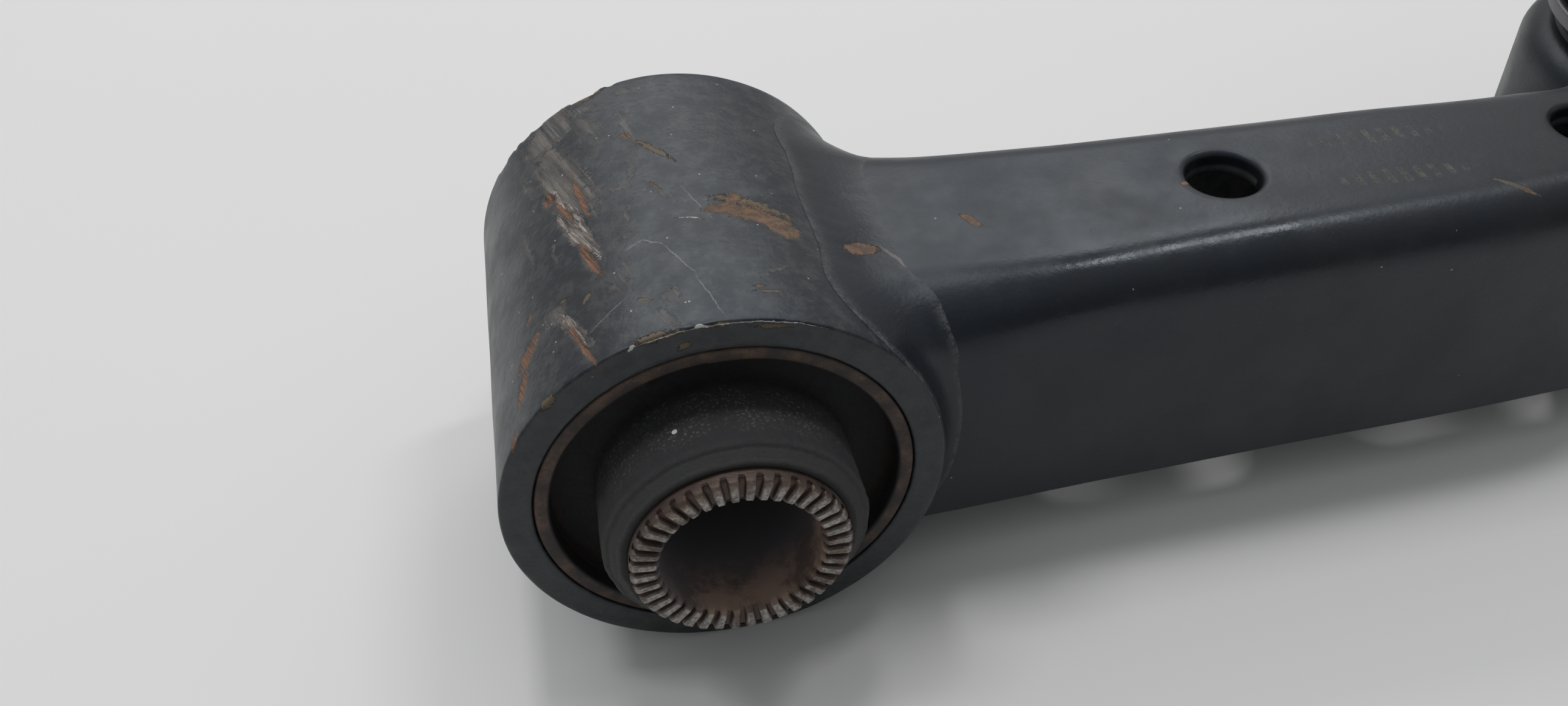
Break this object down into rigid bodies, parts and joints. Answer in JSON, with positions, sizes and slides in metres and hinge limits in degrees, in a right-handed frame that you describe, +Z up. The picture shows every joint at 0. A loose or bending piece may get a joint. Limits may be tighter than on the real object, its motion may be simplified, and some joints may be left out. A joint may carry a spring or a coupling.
{
  "type": "suspension control arm",
  "caption": "Single-leg suspension control arm: pressed box leg with a welded round bush housing, serrated bush sleeve and a ball joint with boot, castle nut and split pin.",
  "frame": {"origin": "centre of the inner bush, on its axis, half way along the inner sleeve", "axes": "+X runs out along the arm towards the ball joint, +Y along the bush axis, +Z up along the ball stud"},
  "size_m": [0.2136, 0.08, 0.103],
  "materials": {
    "arm_paint": "satin black paint, scraped and chipped",
    "outer_sleeve_steel": "dark steel with light rust",
    "inner_sleeve_steel": "worn steel, rusty bore",
    "bush_rubber": "matt black rubber",
    "boot_rubber": "smooth black rubber",
    "stud_steel": "machined steel",
    "plated_steel": "zinc plated",
    "spring_steel": "blued spring steel",
    "cap_steel": "satin black paint",
    "seat_plastic": "natural acetal",
    "ring_steel": "phosphated spring wire"
  },
  "bodies": {
    "arm": {"arm_pressing": "arm_paint", "bottom_plate": "arm_paint", "plate_weld_near": "arm_paint", "plate_weld_far": "arm_paint", "bush_housing": "arm_paint", "bush_housing_weld": "arm_paint", "bush_outer_sleeve": "outer_sleeve_steel", "bush_rubber": "bush_rubber", "ball_joint_housing": "arm_paint", "ball_joint_weld": "arm_paint", "upper_ball_seat": "seat_plastic", "lower_ball_seat": "seat_plastic", "preload_spring": "spring_steel", "ball_joint_cap": "cap_steel", "dust_boot": "boot_rubber", "boot_lower_ring": "ring_steel", "grease_nipple": "plated_steel", "nipple_check_ball": "plated_steel"},
    "inner_sleeve": {"bush_inner_sleeve": "inner_sleeve_steel"},
    "floating_liner": {"ball_liner": "seat_plastic"},
    "stud": {"ball_stud": "stud_steel", "castle_nut": "plated_steel", "split_pin": "plated_steel"},
    "boot_neck": {"boot_neck_ring": "ring_steel"}
  },
  "joints": [
    {"name": "inner_bush_twist", "type": "hinge", "parent": "arm", "child": "inner_sleeve", "pos_m": [0, 0, 0], "axis": [0, 1, 0], "range_deg": [-25, 25], "stiffness_Nm_per_rad": 20},
    {"name": "stud_swing", "type": "hinge", "parent": "arm", "child": "floating_liner", "pos_m": [0.158, 0.018, -0.0035], "axis": [0, 1, 0], "range_deg": [-20, 20], "deforming": ["dust_boot"]},
    {"name": "stud_fore_aft_tilt", "type": "hinge", "parent": "floating_liner", "child": "boot_neck", "pos_m": [0.158, 0.018, -0.0035], "axis": [1, 0, 0], "range_deg": [-6, 6], "deforming": ["dust_boot"]},
    {"name": "stud_spin", "type": "hinge", "parent": "boot_neck", "child": "stud", "pos_m": [0.158, 0.018, -0.0035], "axis": [0, 0, 1], "continuous": true}
  ]
}
